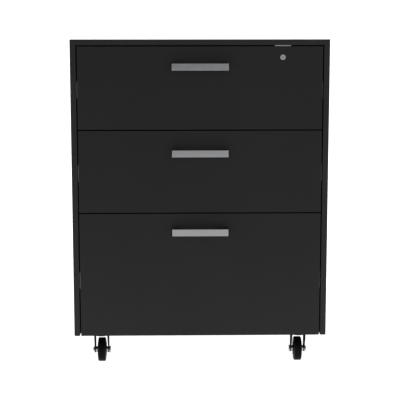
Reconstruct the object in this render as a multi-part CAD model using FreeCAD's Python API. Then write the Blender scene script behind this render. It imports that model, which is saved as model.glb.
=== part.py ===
"""Rolling pedestal cabinet: a board carcass on four swivel casters, with three drawers on ball runners.

Millimetres, +Z up, front towards -Y. The origin is on the floor, under the middle of the whole cabinet.
Each sub-part is written to parts/NODE.step.
"""

import FreeCAD, Part
import math
import os

from FreeCAD import Placement, Rotation, Vector

# ---------------------------------------------------------------- driving dimensions
CABINET_WIDTH = 540.0
CABINET_HEIGHT = 700.0
CABINET_DEPTH = 400.0
HANDLE_REACH = 20.0
BOARD = 12.0
HARDBOARD = 3.0
FLOOR_GAP = 70.0
BASE_RECESS = 3.0
FRONT_GAP = 2.5
EDGE_EASE = 0.6

DRAWERS = ("top", "middle", "bottom")
FRONT_HEIGHT = {"top": 172.5, "middle": 173.0, "bottom": 265.0}
HANDLE_DROP = {"top": 42.2, "middle": 46.6, "bottom": 37.8}
BOX_HEIGHT = {"top": 120.0, "middle": 120.0, "bottom": 196.0}
RUNNER_RISE = {"top": 82.0, "middle": 82.0, "bottom": 118.0}
BOX_DEPTH = 350.0
DRAWER_TRAVEL = 250.0

RUNNER_WIDTH = 12.5
RUNNER_HEIGHT = 35.0
RUNNER_STEEL = 1.2
RUNNER_SETBACK = 3.0
OUTER_CHANNEL_DEPTH = 10.0
INNER_CHANNEL_DEPTH = 9.5
BALL_RADIUS = 1.8
BALL_PLAY = 0.25
BALLS_PER_ROW = 7
CAGE_STEEL = 0.7

HANDLE_WIDTH = 118.0
HANDLE_HEIGHT = 14.4
HANDLE_STRIP = 3.6
HANDLE_HOLE_SPACING = 96.0
HANDLE_FOOT = 22.0
HANDLE_FOOT_HEIGHT = 8.0

LOCK_X = 172.0
LOCK_DROP = 22.5
LOCK_FACE_RADIUS = 5.4
LOCK_PLUG_RADIUS = 4.2
LOCK_BODY_WIDTH = 34.0
LOCK_BODY_HEIGHT = 38.0
LOCK_BODY_DEPTH = 11.0
BOLT_WIDTH = 14.0
BOLT_THICKNESS = 4.6
BOLT_HEIGHT = 26.0
BOLT_THROW = 8.0
STRIKE_WIDTH = 34.6
STRIKE_THICKNESS = 2.0
STRIKE_DEPTH = 27.0

WHEEL_RADIUS = 26.0
WHEEL_HUB_HALF_WIDTH = 9.8
WHEEL_RIM_HALF_WIDTH = 7.2
CASTER_X = 214.5
CASTER_INSET = 40.0
CASTER_TRAIL = 13.0
CASTER_PLATE_X = 58.0
CASTER_PLATE_Y = 42.0
CASTER_SCREWS_X = 46.0
CASTER_SCREWS_Y = 30.0
PLATE_STEEL = 2.0
FORK_STEEL = 2.2
FORK_WIDTH = 31.0
FORK_CROWN_Z = 63.0
FORK_BEND = 3.0
AXLE_RADIUS = 4.0
KINGPIN_RADIUS = 4.0

# ---------------------------------------------------------------- derived places
TOTAL_DEPTH = CABINET_DEPTH + HANDLE_REACH
FRONT_Y = -TOTAL_DEPTH / 2 + HANDLE_REACH
BACK_Y = TOTAL_DEPTH / 2
NAIL_HEAD = 0.5
BACK_PANEL_Y = BACK_Y - NAIL_HEAD - HARDBOARD
HALF_WIDTH = CABINET_WIDTH / 2
BASE_UNDERSIDE = FLOOR_GAP + BASE_RECESS
INNER_X = HALF_WIDTH - BOARD
TOP_UNDERSIDE = CABINET_HEIGHT - BOARD
FRONT_BACK_Y = FRONT_Y + BOARD
FRONT_HALF_WIDTH = INNER_X - FRONT_GAP
BOX_HALF_WIDTH = INNER_X - RUNNER_WIDTH
BOX_INNER_X = BOX_HALF_WIDTH - BOARD
BOX_BACK_Y = FRONT_BACK_Y + BOX_DEPTH
RUNNER_FRONT_Y = FRONT_BACK_Y + RUNNER_SETBACK
RUNNER_LENGTH = BOX_DEPTH - RUNNER_SETBACK
CAGE_LENGTH = RUNNER_LENGTH - DRAWER_TRAVEL - 1.0
GROOVE_DEPTH = 5.0
GROOVE_RISE = 8.0
GROOVE_PLAY = 0.1
GROOVE_INTO_FRONT = 4.0
BASE_SLACK = 0.4
PASS = 1.0
SIDES = {"left": -1, "right": 1}

# screws: head radius, head height where the head stands proud, shank radius, length
WALL_SCREW = (3.6, 1.7, 10.0)
RUNNER_SCREW = (3.4, 1.7, 1.6, 10.5)
BOX_SCREW = (3.6, 1.75, 34.0)
STRIKE_SCREW = (2.6, 1.3, 9.0)
PLATE_SCREW = (3.9, 2.0, 1.9, 12.0)
LOCK_SCREW = (2.6, 1.4, 1.4, 19.0)
TIP_BLUNTNESS = 0.2


def front_bottoms():
    """Height of each drawer front's lower edge, stacked up from the foot of the cabinet."""
    heights = {}
    level = FLOOR_GAP
    for name in reversed(DRAWERS):
        heights[name] = level
        level += FRONT_HEIGHT[name] + FRONT_GAP
    return heights


FRONT_BOTTOM = front_bottoms()
BOX_BOTTOM = {name: FRONT_BOTTOM[name] + RUNNER_RISE[name] - BOX_HEIGHT[name] / 2 for name in DRAWERS}
LOCK_Z = FRONT_BOTTOM["top"] + FRONT_HEIGHT["top"] - LOCK_DROP

CASTERS = {
    "front_left": (-CASTER_X, FRONT_Y + CASTER_INSET),
    "front_right": (CASTER_X, FRONT_Y + CASTER_INSET),
    "rear_left": (-CASTER_X, BACK_Y - CASTER_INSET),
    "rear_right": (CASTER_X, BACK_Y - CASTER_INSET),
}

parts = {}


# ---------------------------------------------------------------- helpers
def box(x0, x1, y0, y1, z0, z1):
    """A block between two corners, given in any order along X."""
    return Part.makeBox(abs(x1 - x0), y1 - y0, z1 - z0, Vector(min(x0, x1), y0, z0))


def eased(solid, radius=EDGE_EASE):
    """The solid with all its edges slightly rounded, as edge banding leaves them."""
    return solid.makeFillet(radius, solid.Edges)


def edges_along(solid, direction):
    """The straight edges that run along a direction."""
    wanted = []
    for edge in solid.Edges:
        straight = isinstance(edge.Curve, Part.Line)
        if straight and abs(edge.tangentAt(edge.FirstParameter).dot(direction)) > 0.999:
            wanted.append(edge)
    return wanted


def cylinder(radius, height, at, along):
    return Part.makeCylinder(radius, height, Vector(*at), Vector(*along))


def placed(solid, at, along):
    """A copy of a solid made along +Z, moved to a point and turned to point along a direction."""
    copy = solid.copy()
    copy.Placement = Placement(Vector(*at), Rotation(Vector(0, 0, 1), Vector(*along)))
    return copy


def cross_recess(radius, depth):
    """A Phillips-style recess that is cut down from z = 0."""
    blade = box(-radius, radius, -radius * 0.22, radius * 0.22, -depth, depth)
    other = blade.copy()
    other.rotate(Vector(0, 0, 0), Vector(0, 0, 1), 90)
    return blade.fuse(other)


def machine_screw(head_radius, head_height, shank_radius, length):
    """A pan-head screw whose head stands above z = 0, and the hole that it fills."""
    head = Part.makeCylinder(head_radius, head_height)
    rim = [edge for edge in head.Edges if edge.Closed and edge.CenterOfMass.z > head_height / 2]
    head = head.makeFillet(head_height * 0.55, rim)
    recess = cross_recess(head_radius * 0.55, head_height * 0.6)
    recess.translate(Vector(0, 0, head_height))
    shank = cylinder(shank_radius, length, (0, 0, 0), (0, 0, -1))
    hole = head.fuse(shank).removeSplitter()
    return hole.cut(recess), hole


def pan_screw(head_radius, head_height, shank_radius, length):
    """A pan-head screw with a point."""
    straight = length - shank_radius
    tip_start = Vector(0, 0, -straight)
    tip = Part.makeCone(shank_radius, shank_radius * TIP_BLUNTNESS, shank_radius, tip_start, Vector(0, 0, -1))
    blunt = machine_screw(head_radius, head_height, shank_radius, straight)
    return tuple(shape.fuse(tip).removeSplitter() for shape in blunt)


def flat_screw(head_radius, shank_radius, length):
    """A countersunk screw whose head is flush with z = 0, and the hole that it fills."""
    head_height = head_radius - shank_radius
    head = Part.makeCone(head_radius, shank_radius, head_height, Vector(0, 0, 0), Vector(0, 0, -1))
    shank = cylinder(shank_radius, length, (0, 0, 0), (0, 0, -1))
    hole = head.fuse(shank).removeSplitter()
    return hole.cut(cross_recess(head_radius * 0.5, head_height * 0.5)), hole


def fitted(fitting, at, along):
    """A fitting, which is a pair of a solid and its hole, moved into place."""
    solid, hole = fitting
    return placed(solid, at, along), placed(hole, at, along)


def solids_of(fittings):
    return [solid for solid, hole in fittings]


def holes_of(fittings):
    return [hole for solid, hole in fittings]


def bent_strip(points, thickness):
    """Outline of a strip of sheet metal folded along a centreline of points, with mitred corners."""
    sides = ([], [])
    for i, point in enumerate(points):
        before = points[max(i - 1, 0)]
        after = points[min(i + 1, len(points) - 1)]
        normals = []
        for a, b in ((before, point), (point, after)):
            run = math.hypot(b[0] - a[0], b[1] - a[1])
            if run > 0:
                normals.append((-(b[1] - a[1]) / run, (b[0] - a[0]) / run))
        nx = sum(n[0] for n in normals) / len(normals)
        ny = sum(n[1] for n in normals) / len(normals)
        reach = thickness / 2 / (nx * nx + ny * ny)
        sides[0].append((point[0] + nx * reach, point[1] + ny * reach))
        sides[1].append((point[0] - nx * reach, point[1] - ny * reach))
    return sides[0] + sides[1][::-1]


def runner_section(side, outline, centre_z, y0, length):
    """A prism along Y from an outline of (distance from the cabinet wall, height about the middle)."""
    corners = [Vector(side * (INNER_X - u), y0, centre_z + v) for u, v in outline]
    face = Part.Face(Part.makePolygon(corners + corners[:1]))
    return face.extrude(Vector(0, length, 0))


# ---------------------------------------------------------------- carcass joints
CAM_RADIUS = 7.5
CAM_DEPTH = 9.5
CAM_REACH = 24.0
CAM_BOLT_RADIUS = 2.9
CAM_BITE = 7.5
DOWEL_RADIUS = 3.0
DOWEL_LENGTH = 24.0
JOINT_CAMS_Y = (-95.0, 100.0)
JOINT_DOWELS_Y = (-150.0, 60.0, 180.0)


def cam_fitting(centre, inward, towards):
    """A cam disc let into a face, and the bolt that it pulls, running towards the other board."""
    disc = placed(Part.makeCylinder(CAM_RADIUS, CAM_DEPTH), centre, inward)
    slot_start = Vector(*centre) - Vector(*towards) * CAM_BOLT_RADIUS
    slot = cylinder(CAM_BOLT_RADIUS + 0.4, CAM_RADIUS * 3, slot_start + Vector(*inward) * BOARD / 2, towards)
    recess = placed(cross_recess(CAM_RADIUS * 0.5, 2.0), centre, inward)
    bolt_start = Vector(*centre) + Vector(*inward) * BOARD / 2 - Vector(*towards) * (CAM_BOLT_RADIUS - 0.5)
    bolt = cylinder(CAM_BOLT_RADIUS, CAM_REACH + CAM_BITE + CAM_BOLT_RADIUS - 0.5, bolt_start, towards)
    hole = placed(Part.makeCylinder(CAM_RADIUS, CAM_DEPTH), centre, inward)
    return [(disc.cut([slot, recess]), hole), (bolt, bolt)]


def carcass_joints():
    """Cams and dowels that join the sides to the top and the bottom."""
    cams, dowels = [], []
    for side in SIDES.values():
        for y in JOINT_CAMS_Y:
            cams += cam_fitting((side * INNER_X, y, TOP_UNDERSIDE - CAM_REACH), (side, 0, 0), (0, 0, 1))
            cams += cam_fitting((side * (INNER_X - CAM_REACH), y, BASE_UNDERSIDE), (0, 0, 1), (side, 0, 0))
        for y in JOINT_DOWELS_Y:
            upright = (side * (INNER_X + BOARD / 2), y, TOP_UNDERSIDE - DOWEL_LENGTH + CAM_BITE)
            level = (side * (INNER_X - DOWEL_LENGTH + CAM_BITE), y, BASE_UNDERSIDE + BOARD / 2)
            dowels.append(cylinder(DOWEL_RADIUS, DOWEL_LENGTH, upright, (0, 0, 1)))
            dowels.append(cylinder(DOWEL_RADIUS, DOWEL_LENGTH, level, (side, 0, 0)))
    return cams, dowels


# ---------------------------------------------------------------- runners
HALF_STEEL = RUNNER_STEEL / 2
OUTER_FLANGE = RUNNER_HEIGHT / 2 - HALF_STEEL
BALL_ROW_HEIGHT = OUTER_FLANGE - HALF_STEEL - BALL_PLAY - BALL_RADIUS
INNER_FLANGE = BALL_ROW_HEIGHT - BALL_RADIUS - BALL_PLAY - HALF_STEEL
BALL_OFFSET = OUTER_CHANNEL_DEPTH / 2
LIP = 2.0
CAGE_GAP = 0.4
CAGE_REACH = 5.6
CAGE_MARGIN = 6.0
RUNNER_BEND = 0.5
RUNNER_SCREWS_Y = (32.0, 176.0, 320.0)
SCREW_STAGGER = 14.0
RUNNER_SLOTS_Y = (70.0, 130.0, 230.0, 285.0)
SLOT_LENGTH = 16.0
SLOT_WIDTH = 4.6


def channel_line(web, tip, flange, lip=0.0):
    """Centreline of a channel section, as (distance from the cabinet wall, height), open towards its tip."""
    upper = [(tip, flange), (web, flange)]
    if lip:
        upper.insert(0, (tip, flange - lip))
    return upper + [(distance, -height) for distance, height in reversed(upper)]


OUTER_LINE = channel_line(HALF_STEEL, OUTER_CHANNEL_DEPTH - HALF_STEEL, OUTER_FLANGE, LIP)
INNER_LINE = channel_line(RUNNER_WIDTH - HALF_STEEL, RUNNER_WIDTH - INNER_CHANNEL_DEPTH, INNER_FLANGE)
CAGE_WEB = RUNNER_STEEL + CAGE_GAP + CAGE_STEEL / 2
CAGE_LINE = channel_line(CAGE_WEB, CAGE_WEB + CAGE_REACH, BALL_ROW_HEIGHT)


def sheet_runner(side, line, centre_z):
    """One runner member, folded from sheet, with its long edges rounded."""
    member = runner_section(side, bent_strip(line, RUNNER_STEEL), centre_z, RUNNER_FRONT_Y, RUNNER_LENGTH)
    return member.makeFillet(RUNNER_BEND, edges_along(member, Vector(0, 1, 0)))


def slot_cutter(x, y, z):
    """A long hole along Y, cut through a plate that faces X."""
    reach = 2 * RUNNER_STEEL
    body = box(x - reach, x + reach, y - SLOT_LENGTH / 2, y + SLOT_LENGTH / 2,
               z - SLOT_WIDTH / 2, z + SLOT_WIDTH / 2)
    end_places = [(x - reach, y + end * SLOT_LENGTH / 2, z) for end in (-1, 1)]
    return body.fuse([cylinder(SLOT_WIDTH / 2, 2 * reach, place, (1, 0, 0)) for place in end_places])


def runner_pair(drawer):
    """The outer members, the inner members and the two sets of screws of one drawer's runners."""
    centre_z = FRONT_BOTTOM[drawer] + RUNNER_RISE[drawer]
    wall_screw = flat_screw(*WALL_SCREW)
    box_screw = pan_screw(*RUNNER_SCREW)
    outers, inners, wall_screws, box_screws = [], [], [], []
    for side in SIDES.values():
        outer = sheet_runner(side, OUTER_LINE, centre_z)
        inner = sheet_runner(side, INNER_LINE, centre_z)
        for y in RUNNER_SCREWS_Y:
            wall = (side * (INNER_X - RUNNER_STEEL), RUNNER_FRONT_Y + y, centre_z)
            wall_screws.append(fitted(wall_screw, wall, (-side, 0, 0)))
            seat_x = side * (INNER_X - RUNNER_WIDTH + RUNNER_STEEL)
            seat = (seat_x, RUNNER_FRONT_Y + y - SCREW_STAGGER, centre_z)
            box_screws.append(fitted(box_screw, seat, (side, 0, 0)))
        slots = [
            slot_cutter(side * (INNER_X - RUNNER_WIDTH + RUNNER_STEEL / 2), RUNNER_FRONT_Y + y, centre_z)
            for y in RUNNER_SLOTS_Y
        ]
        outers.append(outer.cut(holes_of(wall_screws)))
        inners.append(inner.cut(slots + holes_of(box_screws)))
    return outers, inners, wall_screws, box_screws


def ball_cages(drawer):
    """The two ball cages of one drawer: a folded strip each, with its two rows of balls."""
    centre_z = FRONT_BOTTOM[drawer] + RUNNER_RISE[drawer]
    start = RUNNER_FRONT_Y + (RUNNER_LENGTH - CAGE_LENGTH) / 2
    pitch = (CAGE_LENGTH - 2 * CAGE_MARGIN) / (BALLS_PER_ROW - 1)
    solids = []
    for side in SIDES.values():
        cage = runner_section(side, bent_strip(CAGE_LINE, CAGE_STEEL), centre_z, start, CAGE_LENGTH)
        balls, windows = [], []
        for row in (-1, 1):
            for i in range(BALLS_PER_ROW):
                along = start + CAGE_MARGIN + i * pitch
                centre = Vector(side * (INNER_X - BALL_OFFSET), along, centre_z + row * BALL_ROW_HEIGHT)
                balls.append(Part.makeSphere(BALL_RADIUS, centre))
                foot = centre - Vector(0, 0, BALL_RADIUS)
                windows.append(cylinder(BALL_RADIUS + BALL_PLAY, 2 * BALL_RADIUS, foot, (0, 0, 1)))
        solids += [cage.cut(windows)] + balls
    return solids


# ---------------------------------------------------------------- drawers
HANDLE_SCREW_BITE = 3.2
HANDLE_EASE = 0.5
HANDLE_SCREW = (4.0, 2.4, 2.0, BOARD + HANDLE_SCREW_BITE)
BOX_SCREW_INSET = 18.0
GROOVE_CLEARANCE = 7.0


def handle(drawer):
    """A bridge handle bent from flat strip: a grip, two legs, and narrow feet turned inwards."""
    z = FRONT_BOTTOM[drawer] + FRONT_HEIGHT[drawer] - HANDLE_DROP[drawer]
    half = HANDLE_STRIP / 2
    end_x = HANDLE_WIDTH / 2 - half
    grip_y = FRONT_Y - HANDLE_REACH + half
    foot_y = FRONT_Y - half
    toe_x = HANDLE_WIDTH / 2 - HANDLE_FOOT
    line = [(-toe_x, foot_y), (-end_x, foot_y), (-end_x, grip_y),
            (end_x, grip_y), (end_x, foot_y), (toe_x, foot_y)]
    corners = [Vector(x, y, z - HANDLE_HEIGHT / 2) for x, y in bent_strip(line, HANDLE_STRIP)]
    strip = Part.Face(Part.makePolygon(corners + corners[:1])).extrude(Vector(0, 0, HANDLE_HEIGHT))
    strip = eased(strip, HANDLE_EASE)
    leg_inside = HANDLE_WIDTH / 2 - HANDLE_STRIP
    notch_height = (HANDLE_HEIGHT - HANDLE_FOOT_HEIGHT) / 2 + PASS
    notch_y = FRONT_Y - HANDLE_STRIP - PASS
    notches = [box(-leg_inside, leg_inside, notch_y, FRONT_Y + PASS, level, level + notch_height)
               for level in (z + HANDLE_FOOT_HEIGHT / 2, z - HANDLE_FOOT_HEIGHT / 2 - notch_height)]
    screw = machine_screw(*HANDLE_SCREW)
    places = [(side * HANDLE_HOLE_SPACING / 2, FRONT_BACK_Y, z) for side in (-1, 1)]
    screws = [fitted(screw, place, (0, 1, 0)) for place in places]
    return strip.cut(notches + holes_of(screws)), screws


def drawer_fasteners(drawer):
    """Cams that pull the front on to the box sides, and the screws that hold the box back."""
    low = BOX_BOTTOM[drawer] + BOX_SCREW_INSET + GROOVE_CLEARANCE
    high = BOX_BOTTOM[drawer] + BOX_HEIGHT[drawer] - BOX_SCREW_INSET
    back_screw = flat_screw(*BOX_SCREW)
    fasteners = []
    for side in SIDES.values():
        for z in (low, high):
            cam_centre = (side * BOX_INNER_X, FRONT_BACK_Y + CAM_REACH, z)
            fasteners += cam_fitting(cam_centre, (side, 0, 0), (0, -1, 0))
            back_end = (side * BOX_HALF_WIDTH, BOX_BACK_Y - BOARD / 2, z)
            fasteners.append(fitted(back_screw, back_end, (side, 0, 0)))
    return fasteners


def drawer_boards(drawer, holes):
    """The front, the two sides, the back and the bottom, which slides in grooves under the back."""
    z0 = BOX_BOTTOM[drawer]
    z1 = z0 + BOX_HEIGHT[drawer]
    groove_z = z0 + GROOVE_RISE
    groove_x = BOX_INNER_X + GROOVE_DEPTH
    groove_y = FRONT_BACK_Y - GROOVE_INTO_FRONT
    groove_top = groove_z + HARDBOARD + 2 * GROOVE_PLAY
    groove = box(-groove_x, groove_x, groove_y, BOX_BACK_Y + PASS, groove_z, groove_top)
    face = eased(box(-FRONT_HALF_WIDTH, FRONT_HALF_WIDTH, FRONT_Y, FRONT_BACK_Y,
                     FRONT_BOTTOM[drawer], FRONT_BOTTOM[drawer] + FRONT_HEIGHT[drawer]))
    boards = {"front": face.cut([groove] + holes)}
    for name, side in SIDES.items():
        board = box(side * BOX_INNER_X, side * BOX_HALF_WIDTH, FRONT_BACK_Y, BOX_BACK_Y, z0, z1)
        boards[name + "_side"] = board.cut([groove] + holes)
    back = box(-BOX_INNER_X, BOX_INNER_X, BOX_BACK_Y - BOARD, BOX_BACK_Y, groove_top, z1)
    boards["back"] = back.cut(holes)
    boards["bottom"] = box(-groove_x + BASE_SLACK, groove_x - BASE_SLACK, groove_y + BASE_SLACK, BOX_BACK_Y,
                           groove_z + GROOVE_PLAY, groove_z + GROOVE_PLAY + HARDBOARD)
    return boards


# ---------------------------------------------------------------- lock
KEYWAY_WIDTH = 1.3
KEYWAY_LENGTH = 5.6
KEYWAY_DEPTH = 9.0
PIN_OFFSET = BOLT_THROW / 2
PIN_RADIUS = 1.4
PIN_LENGTH = 4.0
PIN_PLAY_X = 0.4
PIN_PLAY_Z = 1.3
PLUG_PLAY = 0.06
PLUG_RECESS = 0.3
LOCK_PROUD = 0.8
CASE_WALL = 3.0
SLIDE_PLAY = 0.15
LOCK_TOP_Z = FRONT_BOTTOM["top"] + FRONT_HEIGHT["top"] - 1.0
BOLT_FRONT_Y = FRONT_BACK_Y + CASE_WALL
BOLT_TOP_Z = LOCK_TOP_Z - 0.5
PLUG_BACK_Y = BOLT_FRONT_Y - 0.75
LOCK_SCREWS_X = 26.0
LOCK_SCREWS_Z = 29.0
BARREL_EASE = 0.5
BOLT_EASE = 0.8
CHANNEL_SPARE = 1.5
PIN_SINK = 0.5
STRIKE_SETBACK = 2.0
STRIKE_CORNER = 2.0
STRIKE_SCREW_REACH = 12.0
BOLT_SLOT_PLAY = 1.2
BOLT_SLOT_RISE = 6.0


def lock_housing():
    """The case behind the front with the barrel that comes through it, and the screws that hold the case."""
    case_back_y = FRONT_BACK_Y + LOCK_BODY_DEPTH
    middle_z = LOCK_TOP_Z - LOCK_BODY_HEIGHT / 2
    face_y = FRONT_Y - LOCK_PROUD
    case = eased(box(LOCK_X - LOCK_BODY_WIDTH / 2, LOCK_X + LOCK_BODY_WIDTH / 2, FRONT_BACK_Y, case_back_y,
                     LOCK_TOP_Z - LOCK_BODY_HEIGHT, LOCK_TOP_Z))
    barrel = cylinder(LOCK_FACE_RADIUS, BOARD + LOCK_PROUD, (LOCK_X, face_y, LOCK_Z), (0, 1, 0))
    face_rims = [e for e in barrel.Edges if e.Closed and e.CenterOfMass.y < face_y + 0.01]
    barrel = barrel.makeFillet(BARREL_EASE, face_rims)
    bore_length = BOLT_FRONT_Y - face_y + PASS
    bore = cylinder(LOCK_PLUG_RADIUS + PLUG_PLAY, bore_length, (LOCK_X, face_y - PASS, LOCK_Z), (0, 1, 0))
    pin_sweep = PIN_OFFSET + PIN_RADIUS + PIN_PLAY_X
    pin_room = cylinder(pin_sweep, CASE_WALL, (LOCK_X, PLUG_BACK_Y - PASS, LOCK_Z), (0, 1, 0))
    channel = box(LOCK_X - BOLT_WIDTH / 2 - SLIDE_PLAY, LOCK_X + BOLT_WIDTH / 2 + SLIDE_PLAY,
                  BOLT_FRONT_Y - SLIDE_PLAY, BOLT_FRONT_Y + BOLT_THICKNESS + SLIDE_PLAY,
                  BOLT_TOP_Z - BOLT_HEIGHT - CHANNEL_SPARE, LOCK_TOP_Z + PASS)
    screw = pan_screw(*LOCK_SCREW)
    places = [(LOCK_X + sx * LOCK_SCREWS_X / 2, case_back_y, middle_z + sz * LOCK_SCREWS_Z / 2)
              for sx in (-1, 1) for sz in (-1, 1)]
    screws = [fitted(screw, place, (0, 1, 0)) for place in places]
    return case.fuse(barrel).cut([bore, pin_room, channel] + holes_of(screws)), screws


def lock_plug():
    """The turning plug: a keyway in its face, and an off-centre pin behind that lifts the bolt."""
    face_y = FRONT_Y - LOCK_PROUD + PLUG_RECESS
    plug = cylinder(LOCK_PLUG_RADIUS, PLUG_BACK_Y - face_y, (LOCK_X, face_y, LOCK_Z), (0, 1, 0))
    keyway = box(LOCK_X - KEYWAY_WIDTH / 2, LOCK_X + KEYWAY_WIDTH / 2, face_y - PASS, face_y + KEYWAY_DEPTH,
                 LOCK_Z - KEYWAY_LENGTH / 2, LOCK_Z + KEYWAY_LENGTH / 2)
    pin = cylinder(PIN_RADIUS, PIN_LENGTH, (LOCK_X, PLUG_BACK_Y - PIN_SINK, LOCK_Z - PIN_OFFSET), (0, 1, 0))
    return plug.cut(keyway).fuse(pin)


def lock_bolt():
    """The flat bolt, with a slot across it for the plug's pin."""
    bolt = box(LOCK_X - BOLT_WIDTH / 2, LOCK_X + BOLT_WIDTH / 2, BOLT_FRONT_Y, BOLT_FRONT_Y + BOLT_THICKNESS,
               BOLT_TOP_Z - BOLT_HEIGHT, BOLT_TOP_Z)
    bolt = bolt.makeFillet(BOLT_EASE, edges_along(bolt, Vector(0, 1, 0)))
    reach_x = PIN_OFFSET + PIN_RADIUS + PIN_PLAY_X
    reach_z = PIN_RADIUS + PIN_PLAY_Z
    pin_slot = box(LOCK_X - reach_x, LOCK_X + reach_x,
                   BOLT_FRONT_Y - PASS, BOLT_FRONT_Y + BOLT_THICKNESS + PASS,
                   LOCK_Z - PIN_OFFSET - reach_z, LOCK_Z - PIN_OFFSET + reach_z)
    return bolt.cut(pin_slot)


def strike():
    """The strike plate under the top, with a slot for the bolt and two countersunk screws."""
    z1 = TOP_UNDERSIDE
    z0 = z1 - STRIKE_THICKNESS
    y0 = FRONT_Y + STRIKE_SETBACK
    plate = box(LOCK_X - STRIKE_WIDTH / 2, LOCK_X + STRIKE_WIDTH / 2, y0, y0 + STRIKE_DEPTH, z0, z1)
    plate = plate.makeFillet(STRIKE_CORNER, edges_along(plate, Vector(0, 0, 1)))
    middle_y = BOLT_FRONT_Y + BOLT_THICKNESS / 2
    reach_x = BOLT_WIDTH / 2 + BOLT_SLOT_PLAY
    reach_y = BOLT_THICKNESS / 2 + BOLT_SLOT_PLAY
    slot = box(LOCK_X - reach_x, LOCK_X + reach_x, middle_y - reach_y, middle_y + reach_y,
               z0 - PASS, z1 + BOLT_SLOT_RISE)
    screw = flat_screw(*STRIKE_SCREW)
    places = [(LOCK_X + side * STRIKE_SCREW_REACH, middle_y, z0) for side in (-1, 1)]
    screws = [fitted(screw, place, (0, 0, -1)) for place in places]
    return plate.cut([slot] + holes_of(screws)), screws, slot


# ---------------------------------------------------------------- casters
RACE_INNER = 9.5
RACE_OUTER = 15.5
RACE_DROP = 1.9
CUP_RADIUS = 19.0
CUP_WALL = 2.2
CUP_RIM_Z = 69.6
RACE_PLAY = 0.3
CASTER_BALL_RADIUS = 1.65
CASTER_BALL_CIRCLE = 12.9
CASTER_BALLS = 16
LEG_FRONT = -12.0
LEG_BACK = 20.0
LEG_SHOULDER = 8.0
LEG_END_RADIUS = 7.5
HEX_FLATS = 12.5
HEAD_THICKNESS = 3.4
NUT_THICKNESS = 2.6
NUT_DOME = 2.6
SPACER_RADIUS = 6.5
HUB_PLAY = 0.3
HUB_RADIUS = 9.0
WHEEL_PLAY = 0.08
TREAD_ROUND = 1.8
PLATE_CORNER = 4.0
RACE_EASE = 0.6
CUP_EASE = 1.4
PIN_HEAD_RADIUS = 6.5
PIN_HEAD_HEIGHT = 2.2
PIN_HEAD_EASE = 1.4
PIN_PLAY = 0.35
NUT_TIP_EASE = 1.2
DOME_STEP = 0.4
HEX_RIM_PLAY = 0.2


def hexagon(flats, thickness, start_x):
    """A hexagonal prism along X, with its two rims chamfered."""
    radius = flats / math.sqrt(3)
    points = [Vector(start_x, radius * math.cos(a), radius * math.sin(a))
              for a in (math.radians(60 * i + 30) for i in range(6))]
    prism = Part.Face(Part.makePolygon(points + points[:1])).extrude(Vector(thickness, 0, 0))
    rim = radius + HEX_RIM_PLAY
    half = thickness / 2
    near = Part.makeCone(rim, rim + half, half, Vector(start_x, 0, 0), Vector(1, 0, 0))
    far = Part.makeCone(rim + half, rim, half, Vector(start_x + half, 0, 0), Vector(1, 0, 0))
    return prism.common(near.fuse(far))


def caster_plate(x, y):
    """The fixing plate with its pressed ball race and its screws."""
    z1 = BASE_UNDERSIDE
    z0 = z1 - PLATE_STEEL
    plate = box(x - CASTER_PLATE_X / 2, x + CASTER_PLATE_X / 2,
                y - CASTER_PLATE_Y / 2, y + CASTER_PLATE_Y / 2, z0, z1)
    plate = plate.makeFillet(PLATE_CORNER, edges_along(plate, Vector(0, 0, 1)))
    race = cylinder(RACE_OUTER, RACE_DROP, (x, y, z0 - RACE_DROP), (0, 0, 1))
    race = race.cut(cylinder(RACE_INNER, RACE_DROP, (x, y, z0 - RACE_DROP), (0, 0, 1)))
    rims = [e for e in race.Edges if e.Closed and e.CenterOfMass.z < z0 - RACE_DROP + 0.01]
    race = race.makeFillet(RACE_EASE, rims)
    screw = pan_screw(*PLATE_SCREW)
    screws = [fitted(screw, (x + sx * CASTER_SCREWS_X / 2, y + sy * CASTER_SCREWS_Y / 2, z0), (0, 0, -1))
              for sx in (-1, 1) for sy in (-1, 1)]
    head_z = FORK_CROWN_Z - RACE_PLAY - PIN_HEAD_HEIGHT
    pin_start = head_z + PIN_HEAD_HEIGHT / 2
    pin = cylinder(KINGPIN_RADIUS, z1 - pin_start, (x, y, pin_start), (0, 0, 1))
    pin_head = cylinder(PIN_HEAD_RADIUS, PIN_HEAD_HEIGHT, (x, y, head_z), (0, 0, 1))
    head_rims = [e for e in pin_head.Edges if e.Closed and e.CenterOfMass.z < head_z + 0.1]
    pin_head = pin_head.makeFillet(PIN_HEAD_EASE, head_rims)
    kingpin = pin.fuse(pin_head).removeSplitter()
    return plate.fuse(race).cut(holes_of(screws) + [kingpin]), screws, kingpin


def caster_balls(x, y):
    """A ring of balls between the plate's race and the fork's cup."""
    z = FORK_CROWN_Z + FORK_STEEL + CASTER_BALL_RADIUS + RACE_PLAY
    ring = []
    for i in range(CASTER_BALLS):
        turn = 2 * math.pi * i / CASTER_BALLS
        centre = Vector(x + CASTER_BALL_CIRCLE * math.cos(turn), y + CASTER_BALL_CIRCLE * math.sin(turn), z)
        ring.append(Part.makeSphere(CASTER_BALL_RADIUS, centre))
    return ring


def folded_block(x, y, half_width, z0, z1, bend):
    """A tall block along Y with its two upper edges rounded, for the outside or the inside of the fork."""
    half_length = CUP_RADIUS + LEG_BACK
    block = box(x - half_width, x + half_width, y - half_length, y + half_length, z0, z1)
    upper_edges = [e for e in edges_along(block, Vector(0, 1, 0)) if e.CenterOfMass.z > z1 - 0.1]
    return block.makeFillet(bend, upper_edges)


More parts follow.
